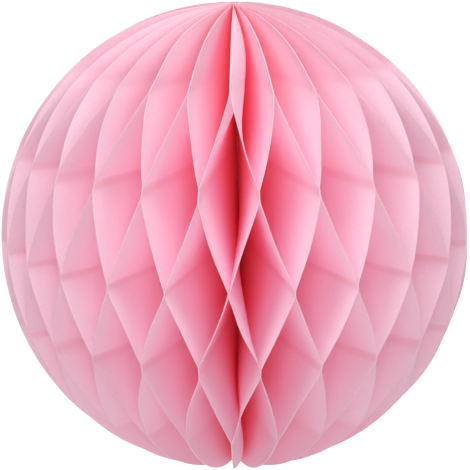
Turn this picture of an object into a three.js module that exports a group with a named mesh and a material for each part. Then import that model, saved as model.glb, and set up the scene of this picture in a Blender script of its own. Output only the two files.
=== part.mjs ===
// Honeycomb paper ball: half-disc tissue leaves bound along a spine, glued to their
// neighbours on staggered rows and opened all the way round into tall diamond cells.
// Millimetres, +Z along the spine, origin at the centre of the ball, front towards -Y.
import * as THREE from 'three';

// Driving dimensions, millimetres
const BALL_RADIUS = 100;
const LEAF_THICKNESS = 0.3;
const LEAF_GAP = 0.3; // clearance where leaves touch each other and the spine
const ROW_PITCH = 36.6; // height from one glue row to the next
const ROW_RISE = 2.2; // height of the middle glue row above the centre of the ball
const GLUE_BAND = 6; // height of one glued stripe
const POLE_END = 3; // width that a leaf keeps where it stops beside the end of the spine

// Count and angles in degrees
const LEAF_PAIRS = 24;
const FRONT_TURN = -1.5; // azimuth of the pair nearest the front, positive towards +X
const SIDE_TURN = 6; // turn of the leaves at both sides, which opens the +X side wider

// Smoothness of the faceted solids
const RAMP_STEPS = 4; // facets between two glue rows
const POLE_STEPS = 5; // facets between the last glue row and the pole
const SPINE_SIDES = 24;

// Derived sizes
const leafCount = 2 * Math.round(LEAF_PAIRS); // the ring closes on whole pairs
const leafStep = (2 * Math.PI) / leafCount;
const leafPitch = LEAF_THICKNESS + LEAF_GAP;
const sideTurn = THREE.MathUtils.degToRad(SIDE_TURN);
const innerRadius = leafPitch / (leafStep * (1 - sideTurn));
const spineRadius = innerRadius - LEAF_GAP;
const endRadius = innerRadius + POLE_END;
const endHeight = Math.sqrt(BALL_RADIUS ** 2 - endRadius ** 2);

const tissue = new THREE.MeshStandardMaterial({
  color: 0xffb3c9,
  roughness: 0.85,
  metalness: 0,
  side: THREE.DoubleSide,
});

const binding = new THREE.MeshStandardMaterial({
  color: 0xf3a0b6,
  roughness: 0.8,
  metalness: 0,
});

// The glue rows whose whole stripe lies on a leaf, from the top down. Each has the swing of
// the leaves there: 1 where the front pair meets, -1 in the staggered rows between.
function glueRows() {
  const rows = [];
  const reach = endHeight - GLUE_BAND / 2;
  const highest = Math.floor((reach - ROW_RISE) / ROW_PITCH);
  const lowest = Math.ceil((-reach - ROW_RISE) / ROW_PITCH);
  for (let row = highest; row >= lowest; row -= 1) {
    const height = ROW_RISE + row * ROW_PITCH;
    rows.push({
      top: height + GLUE_BAND / 2,
      bottom: height - GLUE_BAND / 2,
      swing: row % 2 === 0 ? 1 : -1,
    });
  }
  return rows;
}

// Azimuth of a place in the ring of leaves, in radians from -Y towards +X. Whole places are
// leaves and half places are the planes between them, and place 0.5 faces the front.
function ringAzimuth(place) {
  const even = THREE.MathUtils.degToRad(FRONT_TURN) + (place - 0.5) * leafStep;
  return even + sideTurn * (1 - Math.cos(even));
}

// Sections of the free stretch between two heights along the round rim, without the first.
function poleSections(fromHeight, toHeight, swing) {
  const fromLatitude = Math.asin(fromHeight / BALL_RADIUS);
  const toLatitude = Math.asin(toHeight / BALL_RADIUS);
  const sections = [];
  for (let step = 1; step <= POLE_STEPS; step += 1) {
    const latitude = THREE.MathUtils.lerp(fromLatitude, toLatitude, step / POLE_STEPS);
    sections.push({ height: BALL_RADIUS * Math.sin(latitude), swing });
  }
  return sections;
}

// Heights of the sections across a leaf from the top pole to the bottom one, each with the
// swing of the leaves there. Beyond the last glue row the leaves stay with their partners.
function leafSections() {
  const rows = glueRows();
  const first = rows[0];
  const last = rows[rows.length - 1];
  const sections = poleSections(first.top, endHeight, first.swing).reverse();
  rows.forEach((row, index) => {
    sections.push({ height: row.top, swing: row.swing });
    sections.push({ height: row.bottom, swing: row.swing });
    if (row !== last) {
      const next = rows[index + 1];
      for (let step = 1; step < RAMP_STEPS; step += 1) {
        const share = step / RAMP_STEPS;
        sections.push({
          height: THREE.MathUtils.lerp(row.bottom, next.top, share),
          swing: THREE.MathUtils.lerp(row.swing, next.swing, share),
        });
      }
    }
  });
  sections.push(...poleSections(last.bottom, -endHeight, last.swing));
  return sections;
}

// The four corners of a leaf's section at one height: the back and front faces at the
// spine, then the back and front faces at the rim.
function sectionCorners(leaf, { height, swing }) {
  const lean = leaf % 2 === 0 ? swing : -swing;
  const azimuth = ringAzimuth(leaf + lean / 2);
  const outward = new THREE.Vector3(Math.sin(azimuth), -Math.cos(azimuth), 0);
  const across = new THREE.Vector3(Math.cos(azimuth), Math.sin(azimuth), 0);
  const middle = (-lean * leafPitch) / 2;
  const rimRadius = Math.sqrt(BALL_RADIUS ** 2 - height ** 2);
  const corners = [];
  for (const radius of [innerRadius, rimRadius]) {
    for (const side of [-1, 1]) {
      const offset = middle + (side * LEAF_THICKNESS) / 2;
      const corner = new THREE.Vector3(0, 0, height);
      corner.addScaledVector(outward, radius).addScaledVector(across, offset);
      corners.push(corner);
    }
  }
  return corners;
}

// A closed sheet through the sections: four walls from end to end and a cap at each end.
// Both faces are split along the same diagonals, so a twisted sheet stays evenly thick.
function leafGeometry(leaf, sections) {
  const corners = sections.map((section) => sectionCorners(leaf, section));
  const positions = corners.flat().flatMap((corner) => corner.toArray());
  const [spineBack, spineFront, rimBack, rimFront] = corners[0].keys();
  const perSection = corners[0].length;
  const triangles = [];
  const quad = (a, b, c, d) => triangles.push(a, b, c, a, c, d);

  const top = 0;
  const bottom = (sections.length - 1) * perSection;
  for (let upper = top; upper < bottom; upper += perSection) {
    const lower = upper + perSection;
    quad(lower + spineBack, lower + rimBack, upper + rimBack, upper + spineBack);
    quad(lower + spineFront, upper + spineFront, upper + rimFront, lower + rimFront);
    quad(lower + rimBack, lower + rimFront, upper + rimFront, upper + rimBack);
    quad(lower + spineFront, lower + spineBack, upper + spineBack, upper + spineFront);
  }
  quad(top + spineBack, top + rimBack, top + rimFront, top + spineFront);
  quad(bottom + spineFront, bottom + rimFront, bottom + rimBack, bottom + spineBack);

  const geometry = new THREE.BufferGeometry();
  geometry.setAttribute('position', new THREE.Float32BufferAttribute(positions, 3));
  geometry.setIndex(triangles);
  geometry.computeVertexNormals();
  return geometry;
}

// The bound straight edges of all the leaves, as one slender core on the axis.
function spineMesh() {
  const geometry = new THREE.CylinderGeometry(spineRadius, spineRadius, 2 * endHeight, SPINE_SIDES);
  const mesh = new THREE.Mesh(geometry, binding);
  mesh.name = 'spine';
  mesh.rotation.x = Math.PI / 2;
  return mesh;
}

const ball = new THREE.Group();
ball.name = 'honeycomb_ball';
ball.add(spineMesh());

const sections = leafSections();
for (let leaf = 0; leaf < leafCount; leaf += 1) {
  const mesh = new THREE.Mesh(leafGeometry(leaf, sections), tissue.clone());
  mesh.name = `leaf_${String(leaf + 1).padStart(2, '0')}`;
  ball.add(mesh);
}

export default ball;
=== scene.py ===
"""Honeycomb paper ball, opened all the way round: its tissue leaves, its spine and a studio.

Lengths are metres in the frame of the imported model: +Z runs up the spine, the origin is the
centre of the ball and the front faces -Y. Azimuths run from -Y towards +X.
"""

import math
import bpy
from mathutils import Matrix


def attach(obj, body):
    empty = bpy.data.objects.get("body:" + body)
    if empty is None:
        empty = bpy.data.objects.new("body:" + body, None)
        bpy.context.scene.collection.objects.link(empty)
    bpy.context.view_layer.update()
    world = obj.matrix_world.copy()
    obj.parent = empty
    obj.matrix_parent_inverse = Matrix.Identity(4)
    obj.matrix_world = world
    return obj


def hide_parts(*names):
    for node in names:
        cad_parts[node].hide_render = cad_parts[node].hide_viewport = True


bl_info = {
    "name": "Honeycomb Paper Ball",
    "version": (1, 0, 0),
    "blender": (4, 5, 0),
    "location": "3D View > Sidebar > Paper Ball",
    "description": "Dresses the leaves and the spine of a honeycomb paper ball and lights it",
    "category": "Object",
}

import bpy
import numpy as np
from bpy.props import FloatProperty, FloatVectorProperty, IntProperty, PointerProperty
from mathutils import Quaternion, Vector

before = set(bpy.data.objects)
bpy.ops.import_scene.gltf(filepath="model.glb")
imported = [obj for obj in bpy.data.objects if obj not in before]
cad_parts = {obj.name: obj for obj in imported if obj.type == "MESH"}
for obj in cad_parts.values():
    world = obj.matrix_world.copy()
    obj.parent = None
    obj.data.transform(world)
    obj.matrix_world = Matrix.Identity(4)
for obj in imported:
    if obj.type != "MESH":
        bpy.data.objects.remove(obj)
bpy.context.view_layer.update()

BODY = "root"
LEAF_NODES = sorted(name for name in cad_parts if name.startswith("leaf_"))
SPINE_NODE = "spine"
ROWS = 5  # glued rows between the poles
PHOTO_WIDTH = 470  # pixels
SENSOR_WIDTH = 36  # millimetres
LEAF_BOUNCES = 40  # the red of the cells comes from light that goes on from leaf to leaf
LEAF_CROSSINGS = 13  # leaves that light may pass through on its way

# Fineness of a leaf's mesh
POLE_STATIONS = 24
BAND_STATIONS = 5
RAMP_STATIONS = 24
LEAF_COLUMNS = 14
COLUMN_CROWDING = 1.4  # above 1 the columns crowd towards the rim
LEAF_SHARP_ANGLE = math.radians(40)

# Twisted binding of the spine
STRANDS = 3
STRAND_SIDES = 10
STRAND_RINGS = 400
STRAND_SHARP_ANGLE = math.radians(60)
STRAND_PITCH = 0.008  # height of one whole turn
STRAND_SHARE = 0.44  # radius of a strand, as a share of the leaves' inner radius
WINDING_SHARE = 0.51  # radius of a strand's winding, as a share of the leaves' inner radius
SPINE_RECESS = 0.0003  # distance from the end of the spine to the pole

# Tissue and binding
FIBRE_SCALE = 900  # fibres of the tissue in a metre
CLOUD_SCALE = 70  # thick and thin places of the tissue in a metre
TWIST_SCALE = 600  # fibres of the binding in a metre
TWIST_SHADE = 0.85  # share of the binding's colour that its darkest fibres keep
FRAYED_WIDTH = 0.0006  # width along a leaf's rim over which the cut fibres turn it pale

# Poles
POLE_TIP_WIDTH = 0.006  # distance from the axis over which the lifted tips fall back to the ball
POLE_BOW_END = 0.045  # height above or below the centre where a pair's bow has died out

# Floor
FLOOR_REACH = 12  # distance from the ball to each side of the floor
FLOOR_LIT = (0.93, 0.93, 0.93, 1)  # colour that throws light back at the ball
FLOOR_SHOWN = (0.4, 0.4, 0.4, 1)  # colour that keeps the ball's shadow where the floor is seen
FLOOR_LIFT = 0.97  # glow that makes the seen floor white


def cad_ball_radius():
    """Distance of the farthest corner of the CAD leaves from the centre of the ball."""
    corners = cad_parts[LEAF_NODES[0]].data.vertices
    return round(max(corner.co.length for corner in corners), 4)


class LeafSettings(bpy.types.PropertyGroup):
    """Shape of the tissue leaves"""

    ball_radius: FloatProperty(
        name="Ball radius",
        description="Radius of the round rim of every leaf",
        default=cad_ball_radius(),
        unit="LENGTH",
    )
    rim_thickness: FloatProperty(
        name="Rim thickness",
        description="Thickness of a leaf at its cut rim, where the fibres stand open",
        default=0.00022,
        unit="LENGTH",
    )
    spine_thickness: FloatProperty(
        name="Spine thickness",
        description="Thickness of a leaf where it is pressed into the spine",
        default=0.00006,
        unit="LENGTH",
    )
    pressed_width: FloatProperty(
        name="Pressed width",
        description="Distance from the spine over which a leaf swells to its rim thickness",
        default=0.03,
        unit="LENGTH",
    )
    glue_gap: FloatProperty(
        name="Glue gap",
        description="Clearance between two leaves along a glued stripe",
        default=0.00003,
        unit="LENGTH",
    )
    row_heights: FloatVectorProperty(
        name="Row heights",
        description="Height of the middle of each glued row, from the top down",
        size=ROWS,
        default=(0.0770, 0.0394, 0.0012, -0.0325, -0.0715),
        unit="LENGTH",
    )
    band_heights: FloatVectorProperty(
        name="Band heights",
        description="Usual height of a glued stripe in each row, from the top down",
        size=ROWS,
        default=(0.0035, 0.0032, 0.0014, 0.0032, 0.0035),
        unit="LENGTH",
    )
    glue_height: FloatProperty(
        name="Glue height",
        description="Height of the line of glue that shows through the tissue",
        default=0.0026,
        unit="LENGTH",
    )
    glue_shares: FloatVectorProperty(
        name="Glue shares",
        description="How much of the glue shows through the tissue in each row, from the top down",
        size=ROWS,
        min=0,
        max=1,
        default=(0.15, 1, 0.9, 1, 0.4),
    )
    band_spread: FloatProperty(
        name="Band spread",
        description="Largest share by which a glued stripe is taller or lower than usual",
        subtype="FACTOR",
        default=0.5,
    )
    fold_start: FloatProperty(
        name="Fold start",
        description="Height over which two leaves bend apart below a glued stripe",
        default=0.0016,
        unit="LENGTH",
    )
    fold_end: FloatProperty(
        name="Fold end",
        description="Height over which two leaves bend together above a glued stripe",
        default=0.0007,
        unit="LENGTH",
    )
    inner_radius: FloatProperty(
        name="Inner radius",
        description="Distance of the straight edge of a leaf from the spine's axis",
        default=0.0013,
        unit="LENGTH",
    )
    corner_width: FloatProperty(
        name="Corner width",
        description="Distance from the axis to the tip of a leaf's pole corner",
        default=0.0016,
        unit="LENGTH",
    )
    corner_depth: FloatProperty(
        name="Corner depth",
        description="Height of the rounded corner of a leaf beside the end of the spine",
        default=0.0004,
        unit="LENGTH",
    )
    spine_bow: FloatProperty(
        name="Spine bow",
        description="Sideways bow of the spine towards +X at the middle of the ball",
        default=0.0019,
        unit="LENGTH",
    )
    front_bow: FloatVectorProperty(
        name="Front bow",
        description="Sideways bow of the front pair towards +X at the top pole and at the bottom one",
        size=2,
        default=(0.0055, 0.0038),
        unit="LENGTH",
    )
    pair_bow: FloatProperty(
        name="Pair bow",
        description="Usual sideways bow of the other pairs towards a pole",
        default=0.001,
        unit="LENGTH",
    )
    pole_turn: FloatProperty(
        name="Pole turn",
        description="Usual turn of a pair about the spine towards a pole",
        default=math.radians(1.2),
        subtype="ANGLE",
    )
    back_turn: FloatProperty(
        name="Back turn",
        description="Turn of the two pairs at the back towards the top pole",
        default=math.radians(-7),
        subtype="ANGLE",
    )
    pole_lift: FloatProperty(
        name="Pole lift",
        description="Height by which the tips of the leaves stand up round the top pole",
        default=0.001,
        unit="LENGTH",
    )
    wall_bow: FloatProperty(
        name="Wall bow",
        description="Usual sideways bow of a leaf between two glued rows",
        default=0.0009,
        unit="LENGTH",
    )
    front_wall_bow: FloatProperty(
        name="Front wall bow",
        description="Sideways bow towards +X of the front pair's right leaf below the middle row",
        default=0.0015,
        unit="LENGTH",
    )
    rim_wave: FloatProperty(
        name="Rim wave",
        description="Usual sideways wave of a rim between two glued rows",
        default=0.00045,
        unit="LENGTH",
    )
    front_rim_waves: FloatVectorProperty(
        name="Front rim waves",
        description="Waves towards +X of the front pair's left and right rims below the middle row",
        size=2,
        default=(0.0005, -0.0012),
        unit="LENGTH",
    )
    seed: IntProperty(
        name="Seed",
        description="Start of the random draws for the stripes, bows and waves",
        default=3336,
    )


class PaperColours(bpy.types.PropertyGroup):
    """Colours and finish of the tissue and the binding, and the painted shade of the tissue towards
    the spine
    """

    rim: FloatVectorProperty(
        name="Rim",
        description="Tissue along the cut rim, where loose fibres make it palest",
        subtype="COLOR",
        size=4,
        min=0,
        max=1,
        default=(0.99, 0.79, 0.875, 1),
    )
    thin: FloatVectorProperty(
        name="Thin",
        description="Tissue where its fibres lie thin",
        subtype="COLOR",
        size=4,
        min=0,
        max=1,
        default=(0.998, 0.8, 0.9, 1),
    )
    thick: FloatVectorProperty(
        name="Thick",
        description="Tissue where its fibres lie thick and hold more dye",
        subtype="COLOR",
        size=4,
        min=0,
        max=1,
        default=(0.998, 0.76, 0.865, 1),
    )
    painted_depth_shade: FloatVectorProperty(
        name="Deep",
        # Painted shade: a darker, redder colour that the tissue takes towards the spine, in place of
        # the shade inside the cells
        description="Tissue deep in the ball, where no daylight has faded the dye",
        subtype="COLOR",
        size=4,
        min=0,
        max=1,
        default=(0.996, 0.42, 0.52, 1),
    )
    painted_shade_fade_start: FloatProperty(
        name="Fade start",
        # Share of the way from the spine to the rim where the painted shade starts to fade out
        description="Share of the way from the spine to the rim where the fading starts",
        subtype="FACTOR",
        min=0,
        max=1,
        default=0,
    )
    painted_shade_fade_end: FloatProperty(
        name="Fade end",
        # Share of the way from the spine to the rim where the painted shade is gone
        description="Share of the way from the spine to the rim where the fading ends",
        subtype="FACTOR",
        min=0,
        max=1,
        default=0.66,
    )
    glue: FloatVectorProperty(
        name="Glue",
        description="Tint that a line of glue gives to the tissue over it",
        subtype="COLOR",
        size=4,
        min=0,
        max=1,
        default=(0.985, 0.93, 0.93, 1),
    )
    binding: FloatVectorProperty(
        name="Binding",
        description="Glue and thread of the spine",
        subtype="COLOR",
        size=4,
        min=0,
        max=1,
        default=(0.998, 0.78, 0.82, 1),
    )
    translucency: FloatProperty(
        name="Translucency",
        description="Share of the light that goes through one face of the tissue",
        subtype="FACTOR",
        min=0,
        max=1,
        default=0.28,
    )


class StageSettings(bpy.types.PropertyGroup):
    """Floor, light and camera"""

    floor_drop: FloatProperty(
        name="Floor drop",
        description="Distance of the floor below the centre of the hanging ball",
        default=0.5,
        unit="LENGTH",
    )
    room_light: FloatProperty(
        name="Room light",
        description="Strength of the even light from all round",
        default=0.14,
    )
    front_power: FloatProperty(
        name="Front power",
        description="Power of the lamp behind the camera",
        default=6.5,
        unit="POWER",
    )
    left_power: FloatProperty(
        name="Left power",
        description="Power of the lamp above the camera on the left",
        default=8.4,
        unit="POWER",
    )
    right_power: FloatProperty(
        name="Right power",
        description="Power of the lamp above the camera on the right",
        default=5.8,
        unit="POWER",
    )
    top_power: FloatProperty(
        name="Top power",
        description="Power of the lamp over the ball",
        default=10.5,
        unit="POWER",
    )
    back_power: FloatProperty(
        name="Back power",
        description="Power of the lamp behind the ball",
        default=8,
        unit="POWER",
    )
    lamp_size: FloatProperty(
        name="Lamp size",
        description="Width of each lamp",
        default=0.8,
        unit="LENGTH",
    )
    lamp_distance: FloatProperty(
        name="Lamp distance",
        description="Distance of each lamp from the centre of the ball",
        default=1.6,
        unit="LENGTH",
    )
    camera_distance: FloatProperty(
        name="Camera distance",
        description="Distance of the camera from the centre of the ball",
        default=1.1,
        unit="LENGTH",
    )
    camera_elevation: FloatProperty(
        name="Camera elevation",
        description="Height of the camera above the horizon of the ball",
        default=math.radians(14.56),
        subtype="ANGLE",
    )
    camera_roll: FloatProperty(
        name="Camera roll",
        description="Turn of the camera about its line of sight",
        default=math.radians(-0.29),
        subtype="ANGLE",
    )
    ball_in_picture: FloatProperty(
        name="Ball in picture",
        description="Radius of the ball's outline in the picture",
        default=233.6,
        subtype="PIXEL",
    )


# Leaf shape


def cad_sections(node_name):
    """Heights of a CAD leaf's sections and the azimuths of their radial lines."""
    corners = np.array([vertex.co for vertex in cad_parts[node_name].data.vertices])
    corners = np.unique(np.round(corners, 6), axis=0)
    heights = np.unique(corners[:, 2])
    azimuths = []
    for height in heights:
        section = corners[corners[:, 2] == height]
        radii = np.hypot(section[:, 0], section[:, 1])
        at_rim = radii > radii.mean()
        outward = section[at_rim].mean(axis=0) - section[~at_rim].mean(axis=0)
        azimuths.append(math.atan2(outward[0], -outward[1]))
    return heights, np.array(azimuths)


def glued_azimuths(node_name, row_heights):
    """Azimuths of a CAD leaf in the odd rows, such as the top one, and in the rows between."""
    heights, azimuths = cad_sections(node_name)
    in_rows = [azimuths[np.argmin(abs(heights - height))] for height in row_heights]
    turn = in_rows[1] - in_rows[0]
    turn = (turn + math.pi) % (2 * math.pi) - math.pi
    return in_rows[0], in_rows[0] + turn


def eased(share, start, end):
    """How much of a fold is crossed: slowly over start and end, evenly between."""
    begun = np.minimum(share, start)
    ended = np.maximum(share - (1 - end), 0)
    crossed = share - begun + begun**2 / (2 * start) - ended**2 / (2 * end)
    return crossed / (1 - (start + end) / 2)


def hump(share):
    """A bow that rises gently over a share from 0 to 1 and is 1 tall at two thirds of the way."""
    share = np.clip(share, 0, 1)
    return 27 / 4 * share**2 * (1 - share)


class PaperPlay:
    """Seeded irregularity: how each glued stripe, pair and wall differs from the next.

    The first index of stripes is 0 for the odd rows, such as the top one, and 1 for the rows
    between. The first index of pair_bows and pole_turns is 0 at the top pole and 1 at the
    bottom one. The first index of wall_bows and rim_waves is the leaf's number.
    """

    def __init__(self, sizes):
        draws = np.random.default_rng(sizes.seed)
        leaves = len(LEAF_NODES)
        ramps = ROWS - 1
        below_middle = ramps // 2
        first_back_pair = leaves // 4
        self.stripes = 1 + sizes.band_spread * draws.uniform(-1, 1, (2, leaves // 2))
        self.pair_bows = sizes.pair_bow * draws.normal(0, 1, (2, leaves // 2))
        self.pair_bows[:, 0] = sizes.front_bow
        self.wall_bows = sizes.wall_bow * draws.normal(0, 1, (leaves, ramps))
        self.wall_bows[1, below_middle] = sizes.front_wall_bow
        self.rim_waves = sizes.rim_wave * draws.normal(0, 1, (leaves, ramps))
        self.rim_waves[:2, below_middle] = sizes.front_rim_waves
        self.pole_turns = sizes.pole_turn * draws.normal(0, 1, (2, leaves // 2))
        self.pole_turns[:, 0] = 0
        self.pole_turns[0, first_back_pair : first_back_pair + 2] = sizes.back_turn


class LeafStations:
    """Places down one leaf: height, swing, bow, wave and turn at each, and how much glue shows.

    The swing is 1 in the odd rows and -1 in the rows between.
    """

    def __init__(self, number, sizes, play):
        self.heights, self.swings, self.bows, self.waves = [], [], [], []
        radius = sizes.ball_radius
        partners = (number // 2, (number + 1) // 2 % (len(LEAF_NODES) // 2))
        halves = [
            band * play.stripes[row % 2, partners[row % 2]] / 2
            for row, band in enumerate(sizes.band_heights)
        ]
        tops = [height + half for height, half in zip(sizes.row_heights, halves)]
        bottoms = [height - half for height, half in zip(sizes.row_heights, halves)]
        end_latitude = math.acos(sizes.corner_width / radius)

        to_top = np.linspace(end_latitude, math.asin(tops[0] / radius), POLE_STATIONS)
        self.add(radius * np.sin(to_top)[:-1], 1)
        for row, (top, bottom) in enumerate(zip(tops, bottoms)):
            side = 1 if row % 2 == 0 else -1
            self.add(np.linspace(top, bottom, BAND_STATIONS), side)
            if row + 1 < ROWS:
                share = (1 - np.cos(np.linspace(0, math.pi, RAMP_STATIONS)[1:-1])) / 2
                drop = bottom - tops[row + 1]
                crossed = eased(share, sizes.fold_start / drop, sizes.fold_end / drop)
                arch = np.sin(math.pi * share) ** 2
                bow = play.wall_bows[number, row] * arch
                wave = play.rim_waves[number, row] * arch
                self.add(bottom - drop * share, side * (1 - 2 * crossed), bow, wave)
        to_bottom = np.linspace(math.asin(bottoms[-1] / radius), -end_latitude, POLE_STATIONS)
        self.add(radius * np.sin(to_bottom)[1:], side)

        for name in ("heights", "swings", "bows", "waves"):
            setattr(self, name, np.concatenate(getattr(self, name)))
        self.add_pole_bows(sizes, play.pair_bows[:, partners[0]])
        self.turns = self.pole_turns(sizes, play.pole_turns[:, partners[0]])
        # Half of the glue shows at both edges of its line, where it soaks into the tissue
        self.glue = 0
        for height, share in zip(sizes.row_heights, sizes.glue_shares):
            away = abs(self.heights - height) / sizes.glue_height
            self.glue = self.glue + share * np.clip(1.5 - 2 * away, 0, 1)

    def add(self, heights, swing, bow=0, wave=0):
        """Append places at the heights, with a value or an array for each of the rest."""
        self.heights.append(heights)
        self.swings.append(np.broadcast_to(swing, heights.shape))
        self.bows.append(np.broadcast_to(bow, heights.shape))
        self.waves.append(np.broadcast_to(wave, heights.shape))

    def add_pole_bows(self, sizes, bows):
        """Bow the leaf together with its partner between each pole and the nearest ramp."""
        for pole, bow in zip((1, -1), bows):
            rise = (pole * self.heights - POLE_BOW_END) / (sizes.ball_radius - POLE_BOW_END)
            self.bows = self.bows + bow * hump(rise)

    def pole_turns(self, sizes, turns):
        """Turns of the leaf and its partner, which grow from the outer rows to the poles."""
        total = 0
        for pole, row, turn in zip((1, -1), (0, -1), turns):
            row_height = pole * sizes.row_heights[row]
            rise = (pole * self.heights - row_height) / (sizes.ball_radius - row_height)
            rise = np.clip(rise, 0, 1)
            total = total + turn * rise**2 * (3 - 2 * rise)
        return total


def spine_offset(heights, sizes):
    """Sideways place of the spine's axis, which is bowed between its two poles."""
    return sizes.spine_bow * np.cos(math.pi / 2 * heights / sizes.ball_radius) ** 2


def inner_edge(heights, sizes):
    """Distance of a leaf's straight edge from the axis, with a rounded corner at each pole."""
    end_height = math.sqrt(sizes.ball_radius**2 - sizes.corner_width**2)
    rise = (abs(heights) - end_height + sizes.corner_depth) / sizes.corner_depth
    rise = np.clip(rise, 0, 1)
    return sizes.inner_radius + (sizes.corner_width - sizes.inner_radius) * (1 - np.sqrt(1 - rise**2))


def leaf_sheet(number, sizes, play):
    """Points of a leaf's two faces, as arrays of stations by columns by 3.

    With them come the share of glue at each station and the share of the way from the spine
    to the rim at each column.
    """
    odd_azimuth, even_azimuth = glued_azimuths(LEAF_NODES[number], sizes.row_heights)
    places = LeafStations(number, sizes, play)
    heights = places.heights
    azimuths = odd_azimuth + (even_azimuth - odd_azimuth) * (1 - places.swings) / 2
    side = math.copysign(1, odd_azimuth - even_azimuth)

    reach = np.sqrt(sizes.ball_radius**2 - heights**2)
    azimuths = azimuths + places.turns + places.waves / reach
    rims = np.stack([reach * np.sin(azimuths), -reach * np.cos(azimuths), heights], axis=1)
    axis = np.stack([spine_offset(heights, sizes), np.zeros(len(heights)), heights], axis=1)
    outward = rims - axis
    lengths = np.linalg.norm(outward, axis=1, keepdims=True)
    outward = outward / lengths
    across = np.stack([-outward[:, 1], outward[:, 0], np.zeros(len(heights))], axis=1)

    # The tips round the top pole stand up together and keep their directions
    lift = sizes.pole_lift * (heights > 0) * np.exp(-((reach / POLE_TIP_WIDTH) ** 2))
    axis[:, 2] += lift

    columns = 1 - (1 - np.linspace(0, 1, LEAF_COLUMNS)) ** COLUMN_CROWDING
    starts = inner_edge(heights, sizes)[:, None]
    radii = starts + (lengths - starts) * columns
    swollen = np.minimum(radii / sizes.pressed_width, 1)
    thickness = sizes.spine_thickness + (sizes.rim_thickness - sizes.spine_thickness) * swollen
    middles = -side * places.swings[:, None] * (thickness + sizes.glue_gap) / 2
    middles = middles + places.bows[:, None] * hump(columns)[None, :]

    middle_points = axis[:, None, :] + outward[:, None, :] * radii[:, :, None]
    middle_points = middle_points + across[:, None, :] * middles[:, :, None]
    half = across[:, None, :] * (thickness / 2)[:, :, None]
    return middle_points - half, middle_points + half, places.glue, columns


def closed_sheet_faces(stations, columns):
    """Faces of a closed sheet whose back points come first, then its front points."""
    faces = []
    front = stations * columns

    def point(station, column):
        return station * columns + column

    for station in range(stations - 1):
        for column in range(columns - 1):
            a = point(station, column)
            b = point(station, column + 1)
            c = point(station + 1, column + 1)
            d = point(station + 1, column)
            faces.append((a, d, c, b))
            faces.append((front + a, front + b, front + c, front + d))
        rim, next_rim = point(station, columns - 1), point(station + 1, columns - 1)
        faces.append((rim, next_rim, front + next_rim, front + rim))
        spine, next_spine = point(station, 0), point(station + 1, 0)
        faces.append((spine, front + spine, front + next_spine, next_spine))
    for column in range(columns - 1):
        top, next_top = point(0, column), point(0, column + 1)
        faces.append((top, next_top, front + next_top, front + top))
        low, next_low = point(stations - 1, column), point(stations - 1, column + 1)
        faces.append((low, front + low, front + next_low, next_low))
    return faces


def set_attribute(mesh, name, values):
    """Keep one number for each point of a mesh, for its material to read."""
    mesh.attributes.new(name, "FLOAT", "POINT").data.foreach_set("value", values.astype(np.float32))


def make_leaf(number, sizes, play, material):
    """One tissue leaf in place of its CAD node."""
    node_name = LEAF_NODES[number]
    back, front, glue, shares = leaf_sheet(number, sizes, play)
    stations, columns = back.shape[:2]
    points = np.concatenate([back.reshape(-1, 3), front.reshape(-1, 3)])
    mesh = bpy.data.meshes.new("tissue_" + node_name)
    mesh.from_pydata(points.tolist(), [], closed_sheet_faces(stations, columns))
    set_attribute(mesh, "glue_stripe", np.tile(np.repeat(glue, columns), 2))
    # The share of the way to the rim tells the material where to paint shade towards the spine
    set_attribute(mesh, "way_to_rim", np.tile(shares, 2 * stations))
    mesh.shade_smooth()
    mesh.set_sharp_from_angle(angle=LEAF_SHARP_ANGLE)
    mesh.materials.append(material)
    leaf = bpy.data.objects.new("tissue_" + node_name, mesh)
    bpy.context.scene.collection.objects.link(leaf)
    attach(leaf, BODY)
    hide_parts(node_name)


# Materials


def new_material(name):
    """An empty node material, with its output node."""
    material = bpy.data.materials.new(name)
    material.use_nodes = True
    material.node_tree.nodes.clear()
    output = material.node_tree.nodes.new("ShaderNodeOutputMaterial")
    return material, output


def mixed_colour(tree, factor, first, second, blend="MIX"):
    """The output of a node that mixes two colours, each a socket or a plain colour."""
    mix = tree.nodes.new("ShaderNodeMix")
    mix.data_type = "RGBA"
    mix.blend_type = blend
    tree.links.new(factor, mix.inputs["Factor"])
    for name, colour in (("A", first), ("B", second)):
        if isinstance(colour, bpy.types.NodeSocket):
            tree.links.new(colour, mix.inputs[name])
        else:
            mix.inputs[name].default_value = colour
    return mix.outputs["Result"]


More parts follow.
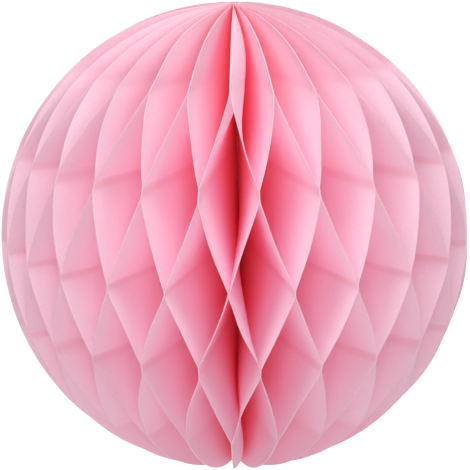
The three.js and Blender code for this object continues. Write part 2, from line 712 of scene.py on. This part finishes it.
def tissue_material(colours, ball_radius):
    """Pink tissue paper that scatters light back and lets light through.

    The dye takes hardly any red, so light that goes from leaf to leaf turns a dark, strong red.
    Towards the spine the colour itself is also painted darker and redder, as painted shade for the
    inside of the cells.
    """
    material, output = new_material("pink_tissue")
    tree = material.node_tree
    nodes = tree.nodes
    links = tree.links

    place = nodes.new("ShaderNodeTexCoord")
    fibres = nodes.new("ShaderNodeTexNoise")
    fibres.inputs["Scale"].default_value = FIBRE_SCALE
    fibres.inputs["Detail"].default_value = 0
    links.new(place.outputs["Object"], fibres.inputs["Vector"])
    clouds = nodes.new("ShaderNodeTexNoise")
    clouds.inputs["Scale"].default_value = CLOUD_SCALE
    clouds.inputs["Detail"].default_value = 2
    links.new(place.outputs["Object"], clouds.inputs["Vector"])
    mottle = nodes.new("ShaderNodeMath")
    mottle.operation = "ADD"
    links.new(fibres.outputs["Fac"], mottle.inputs[0])
    links.new(clouds.outputs["Fac"], mottle.inputs[1])
    density = nodes.new("ShaderNodeMapRange")
    density.inputs["From Min"].default_value = 0.7
    density.inputs["From Max"].default_value = 1.3
    links.new(mottle.outputs["Value"], density.inputs["Value"])
    dye = mixed_colour(tree, density.outputs["Result"], colours.thin, colours.thick)

    # Painted shade: the tissue's colour turns darker and redder towards the spine, in place of the
    # shade inside the cells
    way = nodes.new("ShaderNodeAttribute")
    way.attribute_name = "way_to_rim"
    painted_shade_fade = nodes.new("ShaderNodeMapRange")
    painted_shade_fade.inputs["From Min"].default_value = colours.painted_shade_fade_start
    painted_shade_fade.inputs["From Max"].default_value = colours.painted_shade_fade_end
    links.new(way.outputs["Fac"], painted_shade_fade.inputs["Value"])
    dye = mixed_colour(tree, painted_shade_fade.outputs["Result"], colours.painted_depth_shade, dye)

    stripe = nodes.new("ShaderNodeAttribute")
    stripe.attribute_name = "glue_stripe"
    dye = mixed_colour(tree, stripe.outputs["Fac"], dye, colours.glue, "MULTIPLY")

    distance = nodes.new("ShaderNodeVectorMath")
    distance.operation = "LENGTH"
    links.new(place.outputs["Object"], distance.inputs[0])
    at_rim = nodes.new("ShaderNodeMapRange")
    at_rim.inputs["From Min"].default_value = ball_radius - FRAYED_WIDTH
    at_rim.inputs["From Max"].default_value = ball_radius
    links.new(distance.outputs["Value"], at_rim.inputs["Value"])
    dye = mixed_colour(tree, at_rim.outputs["Result"], dye, colours.rim)

    grain = nodes.new("ShaderNodeBump")
    grain.inputs["Strength"].default_value = 0.12
    grain.inputs["Distance"].default_value = 0.0002
    links.new(fibres.outputs["Fac"], grain.inputs["Height"])

    sheet = nodes.new("ShaderNodeBsdfPrincipled")
    sheet.inputs["Roughness"].default_value = 0.85
    sheet.inputs["Specular IOR Level"].default_value = 0
    links.new(dye, sheet.inputs["Base Color"])
    links.new(grain.outputs["Normal"], sheet.inputs["Normal"])
    glow = nodes.new("ShaderNodeBsdfTranslucent")
    links.new(dye, glow.inputs["Color"])
    tissue = nodes.new("ShaderNodeMixShader")
    tissue.inputs["Fac"].default_value = colours.translucency
    links.new(sheet.outputs["BSDF"], tissue.inputs[1])
    links.new(glow.outputs["BSDF"], tissue.inputs[2])

    # Light that has entered the sheet leaves it freely through the far face
    leaving = nodes.new("ShaderNodeBsdfTransparent")
    leaving.inputs["Color"].default_value = (1, 1, 1, 1)
    side = nodes.new("ShaderNodeNewGeometry")
    paper = nodes.new("ShaderNodeMixShader")
    links.new(side.outputs["Backfacing"], paper.inputs["Fac"])
    links.new(tissue.outputs["Shader"], paper.inputs[1])
    links.new(leaving.outputs["BSDF"], paper.inputs[2])
    links.new(paper.outputs["Shader"], output.inputs["Surface"])
    return material


def binding_material(colours):
    """Glue-soaked thread and paper along the spine."""
    material, output = new_material("spine_binding")
    nodes = material.node_tree.nodes
    links = material.node_tree.links
    place = nodes.new("ShaderNodeTexCoord")
    strands = nodes.new("ShaderNodeTexNoise")
    strands.inputs["Scale"].default_value = TWIST_SCALE
    strands.inputs["Detail"].default_value = 4
    links.new(place.outputs["Object"], strands.inputs["Vector"])
    tint = nodes.new("ShaderNodeValToRGB")
    tint.color_ramp.elements[0].color = [TWIST_SHADE * part for part in colours.binding[:3]] + [1]
    tint.color_ramp.elements[1].color = colours.binding
    links.new(strands.outputs["Fac"], tint.inputs["Fac"])
    twist = nodes.new("ShaderNodeBump")
    twist.inputs["Strength"].default_value = 0.3
    twist.inputs["Distance"].default_value = 0.0003
    links.new(strands.outputs["Fac"], twist.inputs["Height"])
    thread = nodes.new("ShaderNodeBsdfPrincipled")
    thread.inputs["Roughness"].default_value = 0.7
    links.new(tint.outputs["Color"], thread.inputs["Base Color"])
    links.new(twist.outputs["Normal"], thread.inputs["Normal"])
    links.new(thread.outputs["BSDF"], output.inputs["Surface"])
    return material


# Spine


def twisted_strand(turn, sizes):
    """Rings of points of one strand that winds down the bowed axis, top ring first."""
    end_height = sizes.ball_radius - SPINE_RECESS
    strand_radius = sizes.inner_radius * STRAND_SHARE
    winding_radius = sizes.inner_radius * WINDING_SHARE
    rings = []
    for height in np.linspace(end_height, -end_height, STRAND_RINGS):
        angle = turn + 2 * math.pi * height / STRAND_PITCH
        winding = Vector((math.cos(angle), math.sin(angle), 0)) * winding_radius
        middle = Vector((spine_offset(height, sizes), 0, height)) + winding
        ring = []
        for side in range(STRAND_SIDES):
            around = 2 * math.pi * side / STRAND_SIDES
            ring.append(middle + strand_radius * Vector((math.cos(around), math.sin(around), 0)))
        rings.append(ring)
    return rings


def make_spine(sizes, material):
    """The sewn binding, three strands twisted round the axis, in place of the CAD spine."""
    points, faces = [], []
    for strand in range(STRANDS):
        first = len(points)
        rings = twisted_strand(2 * math.pi * strand / STRANDS, sizes)
        points.extend(point for ring in rings for point in ring)
        for ring in range(len(rings) - 1):
            for side in range(STRAND_SIDES):
                here = first + ring * STRAND_SIDES + side
                after = first + ring * STRAND_SIDES + (side + 1) % STRAND_SIDES
                faces.append((here, here + STRAND_SIDES, after + STRAND_SIDES, after))
        last = len(points) - STRAND_SIDES
        faces.append(tuple(range(first, first + STRAND_SIDES)))
        faces.append(tuple(reversed(range(last, last + STRAND_SIDES))))
    mesh = bpy.data.meshes.new("bound_spine")
    mesh.from_pydata(points, [], faces)
    mesh.shade_smooth()
    mesh.set_sharp_from_angle(angle=STRAND_SHARP_ANGLE)
    mesh.materials.append(material)
    spine = bpy.data.objects.new("bound_spine", mesh)
    bpy.context.scene.collection.objects.link(spine)
    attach(spine, BODY)
    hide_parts(SPINE_NODE)


# Stage


def seen_directly(tree):
    """A socket that is 1 for rays from the camera, off gloss and through glass, 0 for the rest.

    Light that tissue scatters through itself is diffuse too, and stays at the lit level.
    """
    rays = tree.nodes.new("ShaderNodeLightPath")
    through_glass = tree.nodes.new("ShaderNodeMath")
    through_glass.operation = "GREATER_THAN"
    tree.links.new(rays.outputs["Is Transmission Ray"], through_glass.inputs[0])
    tree.links.new(rays.outputs["Is Diffuse Ray"], through_glass.inputs[1])
    shiny = tree.nodes.new("ShaderNodeMath")
    shiny.operation = "MAXIMUM"
    tree.links.new(rays.outputs["Is Glossy Ray"], shiny.inputs[0])
    tree.links.new(through_glass.outputs["Value"], shiny.inputs[1])
    seen = tree.nodes.new("ShaderNodeMath")
    seen.operation = "MAXIMUM"
    tree.links.new(rays.outputs["Is Camera Ray"], seen.inputs[0])
    tree.links.new(shiny.outputs["Value"], seen.inputs[1])
    return seen.outputs["Value"]


def make_floor(stage):
    """A wide pale floor, white where it is seen and unshaded, that keeps the ball's shadow."""
    material, output = new_material("pale_floor")
    tree = material.node_tree
    plain = tree.nodes.new("ShaderNodeBsdfDiffuse")
    plain.inputs["Color"].default_value = FLOOR_LIT
    shown = tree.nodes.new("ShaderNodeBsdfDiffuse")
    shown.inputs["Color"].default_value = FLOOR_SHOWN
    lift = tree.nodes.new("ShaderNodeEmission")
    lift.inputs["Strength"].default_value = FLOOR_LIFT
    lifted = tree.nodes.new("ShaderNodeAddShader")
    tree.links.new(shown.outputs["BSDF"], lifted.inputs[0])
    tree.links.new(lift.outputs["Emission"], lifted.inputs[1])
    mix = tree.nodes.new("ShaderNodeMixShader")
    tree.links.new(seen_directly(tree), mix.inputs["Fac"])
    tree.links.new(plain.outputs["BSDF"], mix.inputs[1])
    tree.links.new(lifted.outputs["Shader"], mix.inputs[2])
    tree.links.new(mix.outputs["Shader"], output.inputs["Surface"])

    reach = FLOOR_REACH
    corners = [(-reach, -reach, 0), (reach, -reach, 0), (reach, reach, 0), (-reach, reach, 0)]
    mesh = bpy.data.meshes.new("floor")
    mesh.from_pydata(corners, [], [(0, 1, 2, 3)])
    mesh.materials.append(material)
    floor = bpy.data.objects.new("floor", mesh)
    floor.location.z = -stage.floor_drop
    bpy.context.scene.collection.objects.link(floor)


def make_room(stage):
    """Even white light from all round, seen as plain white."""
    world = bpy.data.worlds.new("white_room")
    world.use_nodes = True
    tree = world.node_tree
    tree.nodes.clear()
    lit = tree.nodes.new("ShaderNodeBackground")
    lit.inputs["Strength"].default_value = stage.room_light
    lit.inputs["Color"].default_value = (1, 1, 1, 1)
    seen = tree.nodes.new("ShaderNodeBackground")
    seen.inputs["Strength"].default_value = 1
    seen.inputs["Color"].default_value = (1, 1, 1, 1)
    mix = tree.nodes.new("ShaderNodeMixShader")
    output = tree.nodes.new("ShaderNodeOutputWorld")
    tree.links.new(seen_directly(tree), mix.inputs["Fac"])
    tree.links.new(lit.outputs["Background"], mix.inputs[1])
    tree.links.new(seen.outputs["Background"], mix.inputs[2])
    tree.links.new(mix.outputs["Shader"], output.inputs["Surface"])
    bpy.context.scene.world = world


def add_lamp(stage, name, power, azimuth, elevation):
    """A square soft lamp that faces the centre of the ball from a direction in degrees."""
    azimuth, elevation = math.radians(azimuth), math.radians(elevation)
    level = math.cos(elevation)
    towards = Vector((level * math.sin(azimuth), -level * math.cos(azimuth), math.sin(elevation)))
    data = bpy.data.lights.new(name, "AREA")
    data.energy = power
    data.size = stage.lamp_size
    lamp = bpy.data.objects.new(name, data)
    lamp.location = towards * stage.lamp_distance
    lamp.rotation_mode = "QUATERNION"
    lamp.rotation_quaternion = (-towards).to_track_quat("-Z", "Y")
    bpy.context.scene.collection.objects.link(lamp)


def add_camera(stage, ball_radius):
    """The photograph's camera, far enough off for the ball to look nearly flat-on."""
    data = bpy.data.cameras.new("camera")
    data.sensor_width = SENSOR_WIDTH
    limb = math.tan(math.asin(ball_radius / stage.camera_distance))
    data.lens = SENSOR_WIDTH * stage.ball_in_picture / PHOTO_WIDTH / limb
    camera = bpy.data.objects.new("camera", data)
    back = Vector((0, -math.cos(stage.camera_elevation), math.sin(stage.camera_elevation)))
    camera.location = back * stage.camera_distance
    camera.rotation_mode = "QUATERNION"
    roll = Quaternion((0, 0, 1), stage.camera_roll)
    camera.rotation_quaternion = (-back).to_track_quat("-Z", "Y") @ roll
    bpy.context.scene.collection.objects.link(camera)
    bpy.context.scene.camera = camera


# Operators


class PAPERBALL_OT_add_leaves(bpy.types.Operator):
    """Put a folded tissue leaf in place of every CAD leaf"""

    bl_idname = "paper_ball.add_leaves"
    bl_label = "Add Tissue Leaves"

    def execute(self, context):
        sizes = context.scene.paper_ball_leaves
        material = tissue_material(context.scene.paper_ball_colours, sizes.ball_radius)
        play = PaperPlay(sizes)
        for number in range(len(LEAF_NODES)):
            make_leaf(number, sizes, play, material)
        return {"FINISHED"}


class PAPERBALL_OT_add_spine(bpy.types.Operator):
    """Put the bound core in place of the CAD spine"""

    bl_idname = "paper_ball.add_spine"
    bl_label = "Add Spine"

    def execute(self, context):
        material = binding_material(context.scene.paper_ball_colours)
        make_spine(context.scene.paper_ball_leaves, material)
        return {"FINISHED"}


class PAPERBALL_OT_add_stage(bpy.types.Operator):
    """Add the floor, the light and the camera"""

    bl_idname = "paper_ball.add_stage"
    bl_label = "Add Stage"

    def execute(self, context):
        stage = context.scene.paper_ball_stage
        make_floor(stage)
        make_room(stage)
        add_lamp(stage, "front_lamp", stage.front_power, azimuth=0, elevation=12)
        add_lamp(stage, "left_lamp", stage.left_power, azimuth=-44, elevation=42)
        add_lamp(stage, "right_lamp", stage.right_power, azimuth=54, elevation=40)
        add_lamp(stage, "top_lamp", stage.top_power, azimuth=0, elevation=78)
        add_lamp(stage, "back_lamp", stage.back_power, azimuth=180, elevation=30)
        add_camera(stage, context.scene.paper_ball_leaves.ball_radius)
        context.scene.view_settings.view_transform = "Standard"
        context.scene.cycles.max_bounces = LEAF_BOUNCES
        context.scene.cycles.diffuse_bounces = LEAF_BOUNCES
        context.scene.cycles.transmission_bounces = LEAF_BOUNCES
        context.scene.cycles.transparent_max_bounces = LEAF_CROSSINGS
        return {"FINISHED"}


class PAPERBALL_PT_panel(bpy.types.Panel):
    """Lists the pieces of the ball and their settings"""

    bl_idname = "PAPERBALL_PT_panel"
    bl_label = "Paper Ball"
    bl_space_type = "VIEW_3D"
    bl_region_type = "UI"
    bl_category = "Paper Ball"

    def draw(self, context):
        for operator in STEPS:
            self.layout.operator(operator.bl_idname)
        for group in (
            context.scene.paper_ball_leaves,
            context.scene.paper_ball_colours,
            context.scene.paper_ball_stage,
        ):
            box = self.layout.box()
            for name in group.__annotations__:
                box.prop(group, name)


GROUPS = {
    "paper_ball_leaves": LeafSettings,
    "paper_ball_colours": PaperColours,
    "paper_ball_stage": StageSettings,
}
STEPS = (PAPERBALL_OT_add_leaves, PAPERBALL_OT_add_spine, PAPERBALL_OT_add_stage)


def register():
    """Register the settings, the operators and the panel."""
    for name, group in GROUPS.items():
        bpy.utils.register_class(group)
        setattr(bpy.types.Scene, name, PointerProperty(type=group))
    for operator in STEPS:
        bpy.utils.register_class(operator)
    bpy.utils.register_class(PAPERBALL_PT_panel)


def unregister():
    """Undo register, in the opposite order."""
    bpy.utils.unregister_class(PAPERBALL_PT_panel)
    for operator in reversed(STEPS):
        bpy.utils.unregister_class(operator)
    for name, group in reversed(GROUPS.items()):
        delattr(bpy.types.Scene, name)
        bpy.utils.unregister_class(group)


def main():
    """Build the ball and its stage."""
    register()
    bpy.ops.paper_ball.add_leaves()
    bpy.ops.paper_ball.add_spine()
    bpy.ops.paper_ball.add_stage()


if __name__ == "__main__":
    main()
